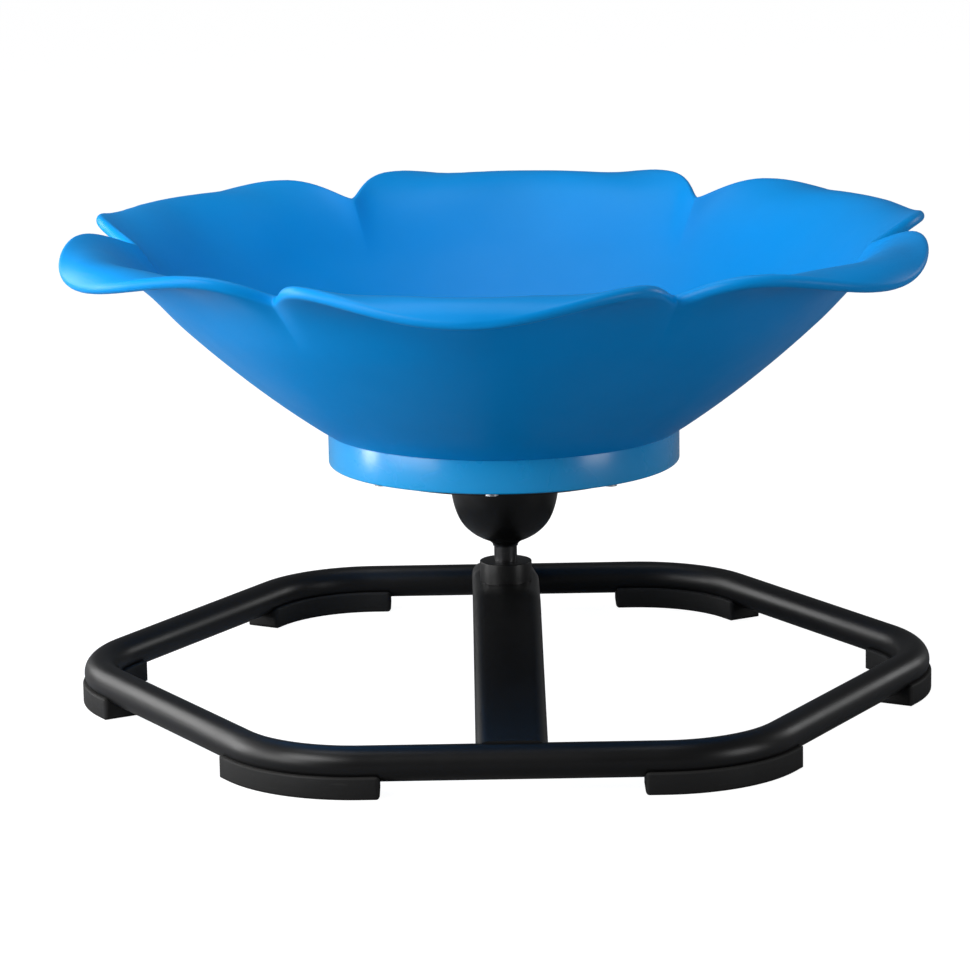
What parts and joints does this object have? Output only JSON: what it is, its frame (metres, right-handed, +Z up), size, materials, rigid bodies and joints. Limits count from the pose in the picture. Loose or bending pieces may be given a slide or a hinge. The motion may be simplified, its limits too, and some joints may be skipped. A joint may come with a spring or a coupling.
{
  "type": "spinning flower seat",
  "caption": "Petalled bowl seat that spins freely on a low hexagonal tube frame with rubber feet, for a child's play and balance.",
  "frame": {"origin": "on the floor, under the spindle's axis, at the middle of the hexagonal frame", "axes": "+Z up along the spindle, -Y to the front bar, +X to the right of someone facing the front"},
  "size_m": [0.6326, 0.6622, 0.3526],
  "materials": {
    "frame_coat": "satin powder coat",
    "bell_coat": "satin",
    "foot_rubber": "matte",
    "zinc_steel": "zinc plated",
    "black_steel": "blackened",
    "bearing_steel": "ground",
    "brass": "satin",
    "bowl_plastic": "fine moulded satin",
    "hub_plastic": "moulded",
    "ring_gloss": "glossy",
    "seal_rubber": "matte"
  },
  "bodies": {
    "frame": {"base_frame": "frame_coat", "support_arch": "frame_coat", "foot_front_left": "foot_rubber", "foot_front_right": "foot_rubber", "foot_right": "foot_rubber", "foot_back_right": "foot_rubber", "foot_back_left": "foot_rubber", "foot_left": "foot_rubber", "foot_screws": "zinc_steel", "spindle_collar": "frame_coat", "spindle": "black_steel", "spindle_washer": "zinc_steel", "spindle_nut": "zinc_steel", "lower_inner_ring": "bearing_steel", "upper_inner_ring": "bearing_steel", "inner_spacer": "zinc_steel", "lock_washer": "zinc_steel", "lock_nut": "zinc_steel"},
    "seat": {"seat_bowl": "bowl_plastic", "seat_hub": "hub_plastic", "skirt_ring": "ring_gloss", "ring_screws": "zinc_steel", "mounting_plate": "frame_coat", "plate_bolts": "black_steel", "threaded_inserts": "brass", "bearing_housing": "black_steel", "bell_cover": "bell_coat", "cover_screws": "black_steel", "lower_outer_ring": "bearing_steel", "upper_outer_ring": "bearing_steel", "bearing_seals": "seal_rubber", "housing_circlip": "black_steel"},
    "lower_cage_set": {"lower_cage": "brass", "lower_balls": "bearing_steel"},
    "upper_cage_set": {"upper_cage": "brass", "upper_balls": "bearing_steel"}
  },
  "joints": [
    {"name": "seat_spin", "type": "hinge", "parent": "frame", "child": "seat", "pos_m": [0, 0, 0.15], "axis": [0, 0, 1], "continuous": true},
    {"name": "lower_cage_spin", "type": "hinge", "parent": "frame", "child": "lower_cage_set", "pos_m": [0, 0, 0.139], "axis": [0, 0, 1], "continuous": true},
    {"name": "upper_cage_spin", "type": "hinge", "parent": "frame", "child": "upper_cage_set", "pos_m": [0, 0, 0.163], "axis": [0, 0, 1], "continuous": true}
  ],
  "couplings": [
    {"joint": "lower_cage_spin", "follows": "seat_spin", "ratio": 0.6158},
    {"joint": "upper_cage_spin", "follows": "seat_spin", "ratio": 0.6158}
  ]
}
